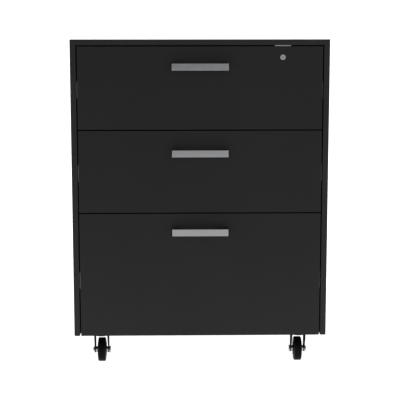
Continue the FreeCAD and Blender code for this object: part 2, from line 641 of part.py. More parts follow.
def caster_fork(x, y):
    """The pressed fork: a folded U cut to its side shape, under a ball cup."""
    half = FORK_WIDTH / 2
    crown_top = FORK_CROWN_Z + FORK_STEEL
    outer = folded_block(x, y, half, 0, crown_top, FORK_BEND + FORK_STEEL)
    inner = folded_block(x, y, half - FORK_STEEL, -PASS, FORK_CROWN_Z, FORK_BEND)
    axle_y = y + CASTER_TRAIL
    shoulder_z = FORK_CROWN_Z - LEG_SHOULDER
    side_line = [(y + LEG_FRONT, crown_top), (y + LEG_BACK, crown_top), (y + LEG_BACK, shoulder_z),
                 (axle_y + LEG_END_RADIUS, WHEEL_RADIUS), (axle_y - LEG_END_RADIUS, WHEEL_RADIUS),
                 (y + LEG_FRONT, shoulder_z)]
    corners = [Vector(x - half, py, pz) for py, pz in side_line]
    outline = Part.Face(Part.makePolygon(corners + corners[:1])).extrude(Vector(FORK_WIDTH, 0, 0))
    outline = outline.fuse(cylinder(LEG_END_RADIUS, FORK_WIDTH, (x - half, axle_y, WHEEL_RADIUS), (1, 0, 0)))
    fork = outer.cut(inner).common(outline)
    cup = cylinder(CUP_RADIUS, CUP_RIM_Z - FORK_CROWN_Z, (x, y, FORK_CROWN_Z), (0, 0, 1))
    cup = cup.cut(cylinder(CUP_RADIUS - CUP_WALL, CUP_RIM_Z - crown_top, (x, y, crown_top), (0, 0, 1)))
    cup_rims = [e for e in cup.Edges if e.Closed and e.CenterOfMass.z < FORK_CROWN_Z + 0.1]
    cup = cup.makeFillet(CUP_EASE, cup_rims)
    axle_start = (x - half - PASS, axle_y, WHEEL_RADIUS)
    axle_hole = cylinder(AXLE_RADIUS, FORK_WIDTH + 2 * PASS, axle_start, (1, 0, 0))
    pin_start = (x, y, FORK_CROWN_Z - PASS)
    pin_hole = cylinder(KINGPIN_RADIUS + PIN_PLAY, FORK_STEEL + 2 * PASS, pin_start, (0, 0, 1))
    return fork.fuse(cup).cut([axle_hole, pin_hole]).removeSplitter()


def caster_axle(x, y):
    """The axle bolt with its head inwards, a cap nut outwards, and spacers that centre the wheel."""
    outward = math.copysign(1, x)
    leg_face = FORK_WIDTH / 2
    tip = leg_face + NUT_THICKNESS
    shank = cylinder(AXLE_RADIUS, leg_face + tip, (-leg_face, 0, 0), (1, 0, 0))
    head = hexagon(HEX_FLATS, HEAD_THICKNESS, -leg_face - HEAD_THICKNESS)
    dome_foot = HEX_FLATS / 2 - DOME_STEP
    dome = Part.makeCone(dome_foot, HEX_FLATS / 4, NUT_DOME, Vector(tip, 0, 0), Vector(1, 0, 0))
    tip_rims = [e for e in dome.Edges if e.Closed and e.CenterOfMass.x > tip + NUT_DOME - 0.1]
    dome = dome.makeFillet(NUT_TIP_EASE, tip_rims)
    nut = hexagon(HEX_FLATS, NUT_THICKNESS, leg_face).fuse(dome).cut(shank)
    solids = [head.fuse(shank).removeSplitter(), nut.removeSplitter()]
    spacer_length = leg_face - FORK_STEEL - WHEEL_HUB_HALF_WIDTH - HUB_PLAY
    for start in (WHEEL_HUB_HALF_WIDTH + HUB_PLAY, -leg_face + FORK_STEEL):
        solids.append(cylinder(SPACER_RADIUS, spacer_length, (start, 0, 0), (1, 0, 0)).cut(shank))
    if outward < 0:
        solids = [solid.mirror(Vector(0, 0, 0), Vector(1, 0, 0)) for solid in solids]
    for solid in solids:
        solid.translate(Vector(x, y + CASTER_TRAIL, WHEEL_RADIUS))
    return solids


def caster_wheel(x, y):
    """A one-piece wheel: its sides taper from a wide hub to a tread with rounded shoulders."""
    half = [(WHEEL_HUB_HALF_WIDTH, AXLE_RADIUS + WHEEL_PLAY), (WHEEL_HUB_HALF_WIDTH, HUB_RADIUS),
            (WHEEL_RIM_HALF_WIDTH, WHEEL_RADIUS)]
    outline = [(-across, radius) for across, radius in half] + half[::-1]
    points = [Vector(across, 0, radius) for across, radius in outline]
    wheel = Part.Face(Part.makePolygon(points + points[:1])).revolve(Vector(0, 0, 0), Vector(1, 0, 0), 360)
    tread_edges = [e for e in wheel.Edges if e.Closed and abs(e.BoundBox.ZLength / 2 - WHEEL_RADIUS) < 0.5]
    wheel = wheel.makeFillet(TREAD_ROUND, tread_edges)
    wheel.translate(Vector(x, y + CASTER_TRAIL, WHEEL_RADIUS))
    return wheel


# ---------------------------------------------------------------- assembly
NAIL_RADIUS = 0.8
NAIL_LENGTH = 16.0
NAIL_HEAD_RADIUS = 2.2
BOTTOM_SETBACK = 2.0
BACK_EDGE = 3.0


def build_drawers():
    """All drawers with their runners; returns the screws that belong in the cabinet's sides."""
    wall_screws = []
    for drawer in DRAWERS:
        outers, inners, into_wall, into_box = runner_pair(drawer)
        grip, grip_screws = handle(drawer)
        fasteners = drawer_fasteners(drawer) + into_box + grip_screws
        openings = []
        if drawer == "top":
            parts["lock_housing"], case_screws = lock_housing()
            parts["lock_plug"] = lock_plug()
            parts["lock_bolt"] = lock_bolt()
            fasteners += case_screws
            lock_start = (LOCK_X, FRONT_Y - PASS, LOCK_Z)
            openings.append(cylinder(LOCK_FACE_RADIUS, BOARD + 2 * PASS, lock_start, (0, 1, 0)))
        for name, board in drawer_boards(drawer, holes_of(fasteners) + openings).items():
            parts[f"{drawer}_drawer_{name}"] = board
        parts[f"{drawer}_drawer_handle"] = grip
        parts[f"{drawer}_drawer_fasteners"] = Part.makeCompound(solids_of(fasteners))
        parts[f"{drawer}_drawer_inner_runners"] = Part.makeCompound(inners)
        parts[f"{drawer}_drawer_outer_runners"] = Part.makeCompound(outers)
        parts[f"{drawer}_drawer_ball_cages"] = Part.makeCompound(ball_cages(drawer))
        wall_screws += into_wall
    return wall_screws


def build_casters():
    """The four casters; returns the screws that belong in the cabinet's bottom."""
    plate_screws, bearings = [], []
    for name, (x, y) in CASTERS.items():
        plate, screws, kingpin = caster_plate(x, y)
        parts[f"{name}_caster_plate"] = plate
        parts[f"{name}_caster_fork"] = caster_fork(x, y)
        parts[f"{name}_caster_axle"] = Part.makeCompound(caster_axle(x, y))
        parts[f"{name}_caster_wheel"] = caster_wheel(x, y)
        plate_screws += screws
        bearings += [kingpin] + caster_balls(x, y)
    parts["caster_swivel_bearings"] = Part.makeCompound(bearings)
    return plate_screws


def back_nails():
    """Nails round the edge of the back panel, into the rear edges of the boards."""
    middle = (BASE_UNDERSIDE + CABINET_HEIGHT) / 2
    reach_z = (CABINET_HEIGHT - BASE_UNDERSIDE - BOARD) / 2
    reach_x = HALF_WIDTH - BOARD / 2
    places = []
    for i in range(-3, 4):
        places += [(side * reach_x, middle + reach_z * i / 3.5) for side in (-1, 1)]
    for i in range(-2, 3):
        places += [(reach_x * i / 2.6, middle + end * reach_z) for end in (-1, 1)]
    nails = []
    for x, z in places:
        shank = cylinder(NAIL_RADIUS, NAIL_LENGTH, (x, BACK_Y - NAIL_HEAD, z), (0, -1, 0))
        head = cylinder(NAIL_HEAD_RADIUS, NAIL_HEAD, (x, BACK_Y - NAIL_HEAD, z), (0, 1, 0))
        nails.append(head.fuse(shank).removeSplitter())
    return nails


def build_carcass(wall_screws, plate_screws):
    """The five panels, cut for everything that is let into them."""
    cams, dowels = carcass_joints()
    plate, strike_screws, bolt_slot = strike()
    nails = back_nails()
    holes = holes_of(cams) + dowels + nails
    y1 = BACK_PANEL_Y
    top = eased(box(-HALF_WIDTH, HALF_WIDTH, FRONT_Y, y1, TOP_UNDERSIDE, CABINET_HEIGHT))
    parts["top_panel"] = top.cut(holes + holes_of(strike_screws) + [bolt_slot])
    for name, side in SIDES.items():
        board = eased(box(side * INNER_X, side * HALF_WIDTH, FRONT_Y, y1, FLOOR_GAP, TOP_UNDERSIDE))
        parts[name + "_side_panel"] = board.cut(holes + holes_of(wall_screws))
    bottom = box(-INNER_X, INNER_X, FRONT_BACK_Y + BOTTOM_SETBACK, y1, BASE_UNDERSIDE, BASE_UNDERSIDE + BOARD)
    parts["bottom_panel"] = bottom.cut(holes + holes_of(plate_screws))
    back = box(-HALF_WIDTH + BACK_EDGE, HALF_WIDTH - BACK_EDGE, y1, y1 + HARDBOARD,
               FLOOR_GAP + BACK_EDGE, CABINET_HEIGHT - BACK_EDGE)
    parts["back_panel"] = back.cut(nails)
    parts["panel_cam_fittings"] = Part.makeCompound(solids_of(cams))
    parts["panel_dowels"] = Part.makeCompound(dowels)
    parts["back_panel_nails"] = Part.makeCompound(nails)
    parts["lock_strike_plate"] = plate
    parts["cabinet_screws"] = Part.makeCompound(solids_of(wall_screws + plate_screws + strike_screws))


def main():
    os.makedirs("parts", exist_ok=True)
    wall_screws = build_drawers()
    plate_screws = build_casters()
    build_carcass(wall_screws, plate_screws)
    for name, shape in sorted(parts.items()):
        if not shape.isValid() or not shape.Solids:
            print("check this shape:", name)
        shape.exportStep(f"parts/{name}.step")
        size = shape.BoundBox
        extent = f"{size.XLength:.1f} x {size.YLength:.1f} x {size.ZLength:.1f} mm"
        print(f"{name}: {len(shape.Solids)} solids, {extent}")
    print(len(parts), "nodes")


main()
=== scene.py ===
# %% [markdown]
# # A rolling pedestal cabinet, part by part
#
# The cabinet is charcoal laminated board on four small casters, with three drawers and a lock. Its working
# model, made in a CAD program, is loaded first: every board, screw and runner is then already in its place,
# in metres, with the floor at z = 0 and the front towards -Y. That frame is never moved. Blender's share is
# how things look: it gives every part its finish, and models again the parts whose shape is softer or finer
# than the working model needs.

# %% load the frame
import math

import bpy
from mathutils import Matrix, Vector


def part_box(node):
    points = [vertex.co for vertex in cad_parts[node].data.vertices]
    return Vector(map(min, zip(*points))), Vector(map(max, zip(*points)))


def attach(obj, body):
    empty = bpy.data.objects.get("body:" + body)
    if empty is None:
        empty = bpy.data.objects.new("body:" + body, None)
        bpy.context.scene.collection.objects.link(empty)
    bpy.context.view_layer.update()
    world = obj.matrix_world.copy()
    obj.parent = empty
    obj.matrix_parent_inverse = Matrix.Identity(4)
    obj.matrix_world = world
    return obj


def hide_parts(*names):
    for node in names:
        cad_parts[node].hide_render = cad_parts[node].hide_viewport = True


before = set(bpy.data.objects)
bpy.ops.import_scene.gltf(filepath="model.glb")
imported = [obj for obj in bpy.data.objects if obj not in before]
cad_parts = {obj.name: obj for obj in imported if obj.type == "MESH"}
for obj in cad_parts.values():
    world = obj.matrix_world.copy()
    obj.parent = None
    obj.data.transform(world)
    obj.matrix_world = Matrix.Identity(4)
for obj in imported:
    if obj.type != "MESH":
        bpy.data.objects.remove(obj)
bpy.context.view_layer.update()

MM = 0.001

# %% [markdown]
# ## Small helpers for modelling
#
# Modelling by hand is a rhythm: add a simple solid, go into edit mode, choose some faces, and pull them.
# An operator acts on everything that is selected, so `start` clears the selection before it adds a solid,
# and then applies its place so that the object itself sits at the origin. `choose` picks faces or edges by
# a rule, such as "looks towards +X", where a hand would click on them, and `pull` extrudes what is chosen.


# %% helpers that start a piece
def start(name, add, **settings):
    bpy.ops.object.select_all(action="DESELECT")
    add(**settings)
    piece = bpy.context.object
    piece.name = name
    piece.data.name = name
    bpy.ops.object.transform_apply(location=True, rotation=True, scale=True)
    return piece


def start_block(name, low, high):
    middle = (Vector(low) + Vector(high)) / 2
    size = Vector(high) - Vector(low)
    return start(name, bpy.ops.mesh.primitive_cube_add, size=1, location=middle, scale=size)


def start_disc(name, centre, radius, length, sides):
    turn = (0, math.pi / 2, 0)
    return start(name, bpy.ops.mesh.primitive_cylinder_add, vertices=sides, radius=radius, depth=length,
                 location=centre, rotation=turn)


print("helpers ready: start, start_block, start_disc")


# %% helpers that choose and pull
FACING = 0.9


def choose(piece, kind, rule):
    """Leaves the piece in edit mode with the faces or edges selected for which the rule is true."""
    bpy.ops.object.mode_set(mode="EDIT")
    bpy.context.tool_settings.mesh_select_mode = (False, kind == "edges", kind == "faces")
    bpy.ops.mesh.select_all(action="DESELECT")
    bpy.ops.object.mode_set(mode="OBJECT")
    for item in piece.data.polygons if kind == "faces" else piece.data.edges:
        item.select = bool(rule(item))
    bpy.ops.object.mode_set(mode="EDIT")


def ends_of(piece, edge):
    return [piece.data.vertices[i].co for i in edge.vertices]


def pull(offset):
    bpy.ops.mesh.extrude_region_move(TRANSFORM_OT_translate={"value": offset})


print("a face looks along an axis when its normal passes", FACING)

# %% [markdown]
# ## Finishing a piece
#
# No edge of a real thing is a knife edge, so `soften` gives the sharp ones a narrow bevel, which is what
# catches the light. `close_up` then joins points that lie on each other, turns every face outwards and sets
# the shading: round parts smooth, and wide faces flat right up to their bevels. What repeats is modelled
# once and copied by `twin`, and `joined` makes one piece of solids that belong together.

# %% helpers that finish a piece
BEVEL_SEGMENTS = 2
MERGE_DISTANCE = 0.01 * MM


def soften(piece, width, angle=35):
    """Rounds every edge that is still sharp."""
    bpy.ops.object.mode_set(mode="EDIT")
    bpy.context.tool_settings.mesh_select_mode = (False, True, False)
    bpy.ops.mesh.select_all(action="DESELECT")
    bpy.ops.mesh.edges_select_sharp(sharpness=math.radians(angle))
    bpy.ops.mesh.bevel(offset=width, segments=BEVEL_SEGMENTS, affect="EDGES", clamp_overlap=True)


def close_up(piece, smooth_angle=40):
    """Merges doubles, turns the faces outwards, shades round parts smooth and keeps wide faces flat."""
    bpy.ops.object.mode_set(mode="EDIT")
    bpy.ops.mesh.select_all(action="SELECT")
    bpy.ops.mesh.remove_doubles(threshold=MERGE_DISTANCE)
    bpy.ops.mesh.normals_make_consistent(inside=False)
    bpy.ops.mesh.select_all(action="DESELECT")
    bpy.ops.object.mode_set(mode="OBJECT")
    bpy.ops.object.select_all(action="DESELECT")
    piece.select_set(True)
    bpy.context.view_layer.objects.active = piece
    bpy.ops.object.shade_smooth_by_angle(angle=math.radians(smooth_angle))
    bpy.ops.object.modifier_add(type="WEIGHTED_NORMAL")
    piece.modifiers[-1].keep_sharp = True
    bpy.ops.object.modifier_apply(modifier=piece.modifiers[-1].name)
    return piece


def twin(piece, name, move):
    """A copy of a piece with its own mesh, moved, with the move put into its mesh."""
    bpy.ops.object.select_all(action="DESELECT")
    piece.select_set(True)
    bpy.context.view_layer.objects.active = piece
    bpy.ops.object.duplicate(linked=False)
    copy = bpy.context.object
    copy.name = name
    copy.data.name = name
    bpy.ops.transform.translate(value=move)
    bpy.ops.object.transform_apply(location=True, rotation=False, scale=False)
    return copy


def joined(name, pieces):
    bpy.ops.object.select_all(action="DESELECT")
    for piece in pieces:
        piece.select_set(True)
    bpy.context.view_layer.objects.active = pieces[0]
    bpy.ops.object.join()
    whole = bpy.context.object
    whole.name = name
    whole.data.name = name
    return whole


print("helpers ready: soften, close_up, twin, joined")

# %% [markdown]
# ## The camera
#
# A catalogue picture of a cabinet is taken from far off with a long lens, level with its top and almost
# square on, so that its uprights stay upright. The lens is about 99 mm on a 36 mm sensor, two and a half
# metres away. The camera's turn is built from three angles: yaw about the upright, pitch down, and a trace
# of roll.

# %% camera
CAMERA_PLACE = (-0.04264, -2.49236, 0.69884)
CAMERA_YAW = math.radians(1.051)
CAMERA_PITCH = math.radians(8.269)
CAMERA_ROLL = math.radians(0.033)
CAMERA_LENS = 99.2
CAMERA_SENSOR = 36

forward = Vector((math.sin(CAMERA_YAW) * math.cos(CAMERA_PITCH),
                  math.cos(CAMERA_YAW) * math.cos(CAMERA_PITCH),
                  -math.sin(CAMERA_PITCH)))
level_right = forward.cross(Vector((0, 0, 1))).normalized()
level_up = level_right.cross(forward)
right = math.cos(CAMERA_ROLL) * level_right - math.sin(CAMERA_ROLL) * level_up
up = math.sin(CAMERA_ROLL) * level_right + math.cos(CAMERA_ROLL) * level_up
turn = Matrix((right, up, -forward)).transposed().to_4x4()

camera_data = bpy.data.cameras.new("camera")
camera_data.lens = CAMERA_LENS
camera_data.sensor_width = CAMERA_SENSOR
camera = bpy.data.objects.new("camera", camera_data)
camera.matrix_world = Matrix.Translation(CAMERA_PLACE) @ turn
bpy.context.scene.collection.objects.link(camera)
bpy.context.scene.camera = camera
bpy.context.scene.view_settings.view_transform = "Standard"
print("camera at", [round(v, 3) for v in camera.location])

# %% [markdown]
# ## The studio
#
# The set is a sheet of pale paper that lies on the floor and curves up behind, so no corner shows. It is
# a plane whose far edge is pulled up, with the fold rounded by a wide bevel. The light is as soft as
# studio light gets: a large panel overhead, one on each side and a wide one by the camera. Dark board shows
# mostly what it reflects, so big even panels matter more here than bright ones.

# %% floor
FLOOR_SIZE = 16.0
SWEEP_PLACE = 6.0
SWEEP_HEIGHT = 6.0
SWEEP_ROUND = 2.5
SWEEP_SEGMENTS = 24
FOLD_REACH = 0.1

floor = start("studio_floor", bpy.ops.mesh.primitive_plane_add, size=FLOOR_SIZE,
              location=(0, SWEEP_PLACE - FLOOR_SIZE / 2, 0))
choose(floor, "edges", lambda e: all(co.y > SWEEP_PLACE - FOLD_REACH for co in ends_of(floor, e)))
pull((0, 0, SWEEP_HEIGHT))
choose(floor, "edges",
       lambda e: all(co.y > SWEEP_PLACE - FOLD_REACH and co.z < FOLD_REACH for co in ends_of(floor, e)))
bpy.ops.mesh.bevel(offset=SWEEP_ROUND, segments=SWEEP_SEGMENTS, affect="EDGES")
bpy.ops.object.mode_set(mode="OBJECT")
bpy.ops.object.shade_smooth()
print("floor faces:", len(floor.data.polygons))

# %% lamps: place, the point they face, width and watts
LAMPS = {
    "overhead": ((0.0, 0.4, 3.6), (0, 0, 0.2), 4.5, 40.0),
    "beside_camera": ((1.4, -3.6, 1.7), (0, 0, 0.60), 2.2, 9.5),
    "left_panel": ((-3.0, -1.2, 1.4), (0, 0, 0.35), 2.0, 6.0),
    "right_panel": ((3.0, -0.6, 1.4), (0, 0, 0.35), 2.0, 10.0),
}
for name, (place, target, size, watts) in LAMPS.items():
    lamp_data = bpy.data.lights.new(name, "AREA")
    lamp_data.shape = "SQUARE"
    lamp_data.size = size
    lamp_data.energy = watts
    lamp = bpy.data.objects.new(name, lamp_data)
    lamp.location = place
    lamp.rotation_euler = (Vector(target) - Vector(place)).to_track_quat("-Z", "Y").to_euler()
    bpy.context.scene.collection.objects.link(lamp)
print("lamps:", ", ".join(LAMPS))

# %% the light that comes from everywhere
AIR_COLOUR = (0.96, 0.98, 1.0, 1)
AIR_STRENGTH = 0.32

world = bpy.data.worlds.new("studio_air")
bpy.context.scene.world = world
world.use_nodes = True
air = world.node_tree.nodes["Background"]
air.inputs["Color"].default_value = AIR_COLOUR
air.inputs["Strength"].default_value = AIR_STRENGTH
print("air strength:", AIR_STRENGTH)

# %% [markdown]
# ## How a finish is made
#
# A finish is a small network of nodes that feeds one surface shader. Each of ours starts from the object's
# own coordinates, which are in metres, so a pattern has a true size: a noise of scale 1000 has spots of
# about a millimetre. Noise is then used three times over, since on a real surface the colour, the gloss and
# the height all vary a little together. The helpers below are the few steps that every finish repeats.

# %% helpers for finishes
EDGE_SAMPLES = 4
EDGE_GAIN = 9.0


class Finish:
    """One material under construction, and the node steps that build it up."""

    def __init__(self, name, metal=0.0, specular=0.5):
        self.material = bpy.data.materials.new(name)
        self.material.use_nodes = True
        self.nodes = self.material.node_tree.nodes
        self.links = self.material.node_tree.links
        self.shader = self.nodes["Principled BSDF"]
        self.shader.inputs["Metallic"].default_value = metal
        self.shader.inputs["Specular IOR Level"].default_value = specular
        self.place = self.nodes.new("ShaderNodeTexCoord").outputs["Object"]
        self.normal = None

    def stretched(self, stretch):
        mapping = self.nodes.new("ShaderNodeMapping")
        mapping.inputs["Scale"].default_value = stretch
        self.links.new(self.place, mapping.inputs["Vector"])
        return mapping.outputs["Vector"]

    def noise(self, scale, detail, stretch=None):
        node = self.nodes.new("ShaderNodeTexNoise")
        node.inputs["Scale"].default_value = scale
        node.inputs["Detail"].default_value = detail
        self.links.new(self.stretched(stretch) if stretch else self.place, node.inputs["Vector"])
        return node.outputs["Fac"]

    def flakes(self, scale):
        node = self.nodes.new("ShaderNodeTexVoronoi")
        node.inputs["Scale"].default_value = scale
        self.links.new(self.place, node.inputs["Vector"])
        return node.outputs["Color"]

    def spread(self, value, low, high, floor=0.3, ceiling=0.7):
        """Maps floor to low and ceiling to high. Most of a noise lies between 0.3 and 0.7."""
        node = self.nodes.new("ShaderNodeMapRange")
        node.inputs["From Min"].default_value = floor
        node.inputs["From Max"].default_value = ceiling
        node.inputs["To Min"].default_value = low
        node.inputs["To Max"].default_value = high
        self.links.new(value, node.inputs["Value"])
        return node.outputs["Result"]

    def blend(self, amount, first, second):
        """A colour between two, each a colour or the output of another step."""
        node = self.nodes.new("ShaderNodeMix")
        node.data_type = "RGBA"
        self.links.new(amount, node.inputs["Factor"])
        for socket, colour in ((node.inputs["A"], first), (node.inputs["B"], second)):
            if isinstance(colour, tuple):
                socket.default_value = (*colour, 1)
            else:
                self.links.new(colour, socket)
        return node.outputs["Result"]

    def edge_mask(self, radius):
        """Near 1 along the edges of a solid: there a rounded normal leans away from the true one."""
        rounded = self.nodes.new("ShaderNodeBevel")
        rounded.samples = EDGE_SAMPLES
        rounded.inputs["Radius"].default_value = radius
        true = self.nodes.new("ShaderNodeNewGeometry")
        dot = self.nodes.new("ShaderNodeVectorMath")
        dot.operation = "DOT_PRODUCT"
        self.links.new(rounded.outputs["Normal"], dot.inputs[0])
        self.links.new(true.outputs["Normal"], dot.inputs[1])
        return self.spread(dot.outputs["Value"], 1.0, 0.0, floor=1.0 - 1.0 / EDGE_GAIN, ceiling=1.0)

    def product(self, first, second):
        node = self.nodes.new("ShaderNodeMath")
        node.operation = "MULTIPLY"
        self.links.new(first, node.inputs[0])
        self.links.new(second, node.inputs[1])
        return node.outputs["Value"]

    def bump(self, height, depth, strength):
        node = self.nodes.new("ShaderNodeBump")
        node.inputs["Strength"].default_value = strength
        node.inputs["Distance"].default_value = depth
        self.links.new(height, node.inputs["Height"])
        if self.normal:
            self.links.new(self.normal, node.inputs["Normal"])
        self.normal = node.outputs["Normal"]

    def done(self, colour, roughness):
        self.links.new(colour, self.shader.inputs["Base Color"])
        self.links.new(roughness, self.shader.inputs["Roughness"])
        if self.normal:
            self.links.new(self.normal, self.shader.inputs["Normal"])
        return self.material


FINISHES = {}
print("finish helpers ready")

# %% [markdown]
# ## Laminated board
#
# Furniture board is chipboard pressed between two sheets of resin-soaked paper, and its edges are closed
# with a thin plastic band. The press plate leaves a fine pebble, so the gloss is low and a little
# uneven. Two noises make the pebble, one of about half a millimetre and one of two and a half, and a slow
# one clouds the colour. The edges are blended towards a paler grey: partly faint wear where hands and
# boxes rub, partly a painted highlight for the light that the bands catch.

# %% the laminate recipe
PEBBLE_DEPTH = 0.03 * MM
BAND_WIDTH = 0.9 * MM
SPECK_SHADE = 0.82
PEBBLE_GLOSS = 0.06


def laminate(name, dark, light, wear_and_sheen, roughness, specular):
    finish = Finish(name, specular=specular)
    cloud = finish.noise(scale=7.0, detail=5.0)
    grit = finish.noise(scale=1900.0, detail=2.0)
    pebbles = finish.noise(scale=420.0, detail=3.0)
    base = finish.blend(finish.spread(cloud, 0.0, 1.0), dark, light)
    speck = tuple(c * SPECK_SHADE for c in dark)
    specked = finish.blend(finish.spread(grit, 0.35, 0.0), base, speck)
    # The edges are blended towards a paler grey: partly wear, patchy by the scuff noise, partly a painted
    # highlight.
    mask = finish.edge_mask(BAND_WIDTH)
    scuffs = finish.spread(finish.noise(scale=60.0, detail=4.0), 0.15, 0.75)
    edge = finish.product(mask, scuffs)
    colour = finish.blend(edge, specked, wear_and_sheen)
    finish.bump(pebbles, depth=PEBBLE_DEPTH, strength=0.55)
    finish.bump(grit, depth=PEBBLE_DEPTH / 3, strength=0.4)
    rough = finish.spread(pebbles, roughness - PEBBLE_GLOSS, roughness + PEBBLE_GLOSS)
    return finish.done(colour, rough)


print("laminate recipe ready")

# %% laminates: dark and light colour, edge colour of wear and painted highlight, roughness, specular
LAMINATES = {
    "front_laminate": ((0.0130, 0.0130, 0.0132), (0.0149, 0.0149, 0.0151), (0.030, 0.030, 0.031),
                       0.55, 0.20),
    "carcass_laminate": ((0.0225, 0.0225, 0.0228), (0.0255, 0.0255, 0.0259), (0.045, 0.045, 0.046),
                         0.55, 0.13),
    "drawer_laminate": ((0.36, 0.365, 0.37), (0.42, 0.423, 0.428), (0.55, 0.55, 0.55),
                        0.47, 0.35),
}
for name, (dark, light, wear_and_sheen, roughness, specular) in LAMINATES.items():
    FINISHES[name] = laminate(name, dark, light, wear_and_sheen, roughness, specular)
print("laminates:", ", ".join(FINISHES))

# %% [markdown]
# ## Hardboard
#
# The back and the drawer bases are hardboard: wood fibre pressed to three millimetres and painted on one
# side. The paint sinks into the fibre, so the surface shows a soft felt of short strands. A noise stretched
# along X and another along Y, blended, give crossing strands, and the bump follows them.

# %% hardboard finishes
STRANDS_ALONG_X = (1.0, 6.0, 6.0)
STRANDS_ALONG_Y = (6.0, 1.0, 1.0)
STRAND_DEPTH = 0.08 * MM
STRAND_SHADE = 0.78


def hardboard(name, dark, light, roughness):
    finish = Finish(name, specular=0.3)
    along = finish.noise(scale=160.0, detail=4.0, stretch=STRANDS_ALONG_X)
    across = finish.noise(scale=190.0, detail=4.0, stretch=STRANDS_ALONG_Y)
    strands = finish.product(along, across)
    cloud = finish.noise(scale=9.0, detail=4.0)
    base = finish.blend(finish.spread(cloud, 0.0, 1.0), dark, light)
    shade = tuple(c * STRAND_SHADE for c in dark)
    colour = finish.blend(finish.spread(strands, 0.5, 0.0, floor=0.15, ceiling=0.35), base, shade)
    finish.bump(strands, depth=STRAND_DEPTH, strength=0.6)
    rough = finish.spread(strands, roughness + 0.08, roughness - 0.06, floor=0.15, ceiling=0.35)
    return finish.done(colour, rough)


FINISHES["back_laminate"] = hardboard(
    "back_laminate", (0.020, 0.020, 0.021), (0.027, 0.027, 0.028), roughness=0.62)
FINISHES["drawer_base"] = hardboard(
    "drawer_base", (0.37, 0.37, 0.365), (0.44, 0.44, 0.432), roughness=0.6)
print("hardboards made")

# %% [markdown]
# ## Plated and anodised metal
#
# Most of the hardware is pressed steel with a bright zinc coat, which dries in faint crystals. The handles
# are brushed aluminium, with hair-fine lines along their length, and the lock is nickel plate. One
# recipe serves them all: a noise stretched hard along the brushing, crystals from a cell pattern
# where there is zinc, a slow cloud of dulling, as fingers and air leave on metal, and a painted
# highlight that brightens the colour along the edges.

# %% the metal recipe
LINE_DEPTH = 0.02 * MM
LINE_SHADE = 0.8
CRYSTAL_SCALE = 260.0
CRYSTAL_SHINE = 1.25
# width, gain and strength of the painted highlight along the edges
HIGHLIGHT_EDGE_WIDTH = 0.5 * MM
HIGHLIGHT_GAIN = 1.2
HIGHLIGHT_STRENGTH = 0.25


def plated(name, dark, light, roughness, brushing, crystals, line_scale):
    finish = Finish(name, metal=1.0)
    lines = finish.noise(scale=line_scale, detail=4.0, stretch=brushing)
    cloud = finish.noise(scale=35.0, detail=4.0)
    base = finish.blend(finish.spread(cloud, 0.0, 1.0), dark, light)
    shade = tuple(c * LINE_SHADE for c in dark)
    colour = finish.blend(finish.spread(lines, 0.45, 0.0), base, shade)
    if crystals:
        cell = finish.spread(finish.flakes(CRYSTAL_SCALE), 0.0, crystals, floor=0.0, ceiling=1.0)
        colour = finish.blend(cell, colour, tuple(c * CRYSTAL_SHINE for c in light))
    # Painted highlight: the colour is brightened along the edges, more in some places than others by the
    # cloud.
    highlight_colour = tuple(c * HIGHLIGHT_GAIN for c in light)
    painted_highlight = finish.product(finish.edge_mask(HIGHLIGHT_EDGE_WIDTH), finish.spread(cloud, HIGHLIGHT_STRENGTH, HIGHLIGHT_STRENGTH * 2))
    colour = finish.blend(painted_highlight, colour, highlight_colour)
    finish.bump(lines, depth=LINE_DEPTH, strength=0.5)
    rough = finish.spread(cloud, roughness - 0.02, roughness + 0.04)
    return finish.done(colour, rough)


print("metal recipe ready")

# %% metals: dark and light colour, roughness, brushing, crystals, scale of the lines
ALONG_X = (0.02, 1.0, 1.0)
ALONG_Y = (1.0, 0.03, 1.0)
ALONG_Z = (1.0, 1.0, 0.03)
EVEN = (1.0, 1.0, 1.0)

METALS = {
    "handle_metal": ((0.425, 0.425, 0.43), (0.445, 0.445, 0.45), 0.22, ALONG_X, 0.0, 1500.0),
    "runner_steel": ((0.50, 0.51, 0.53), (0.60, 0.61, 0.63), 0.33, ALONG_Y, 0.25, 1100.0),
    "cage_steel": ((0.46, 0.47, 0.49), (0.55, 0.56, 0.58), 0.28, ALONG_Y, 0.10, 1100.0),
    "screw_steel": ((0.48, 0.48, 0.49), (0.60, 0.60, 0.61), 0.34, EVEN, 0.15, 1600.0),
    "cam_metal": ((0.36, 0.36, 0.37), (0.46, 0.46, 0.47), 0.48, EVEN, 0.20, 1300.0),
    "lock_nickel": ((0.58, 0.58, 0.57), (0.66, 0.66, 0.65), 0.26, EVEN, 0.0, 2200.0),
    "plug_nickel": ((0.42, 0.42, 0.41), (0.48, 0.48, 0.47), 0.32, EVEN, 0.0, 2200.0),
    "bolt_steel": ((0.44, 0.44, 0.44), (0.53, 0.53, 0.52), 0.30, ALONG_Z, 0.0, 1500.0),
    "strike_steel": ((0.36, 0.36, 0.37), (0.44, 0.44, 0.45), 0.36, ALONG_X, 0.15, 1500.0),
    "axle_steel": ((0.40, 0.40, 0.41), (0.50, 0.50, 0.51), 0.22, EVEN, 0.10, 1600.0),
    "bearing_steel": ((0.42, 0.42, 0.44), (0.52, 0.52, 0.53), 0.20, EVEN, 0.0, 1600.0),
}
for name, (dark, light, roughness, brushing, crystals, line_scale) in METALS.items():
    FINISHES[name] = plated(name, dark, light, roughness, brushing, crystals, line_scale)
print("metals:", ", ".join(METALS))

# %% [markdown]
# ## Black coated steel
#
# The casters' plates and forks are pressed steel under a thin black coat, baked on. Such a coat pulls back
# a little from sharp rims, so steel shows there in a thin grey line, and its surface has the faint orange
# skin of paint that flowed before it set. It isn't metal to the shader: only the steel below it would be.
# It is kept dull, because a glossy leg that is seen almost edge-on mirrors the pale floor and turns grey.

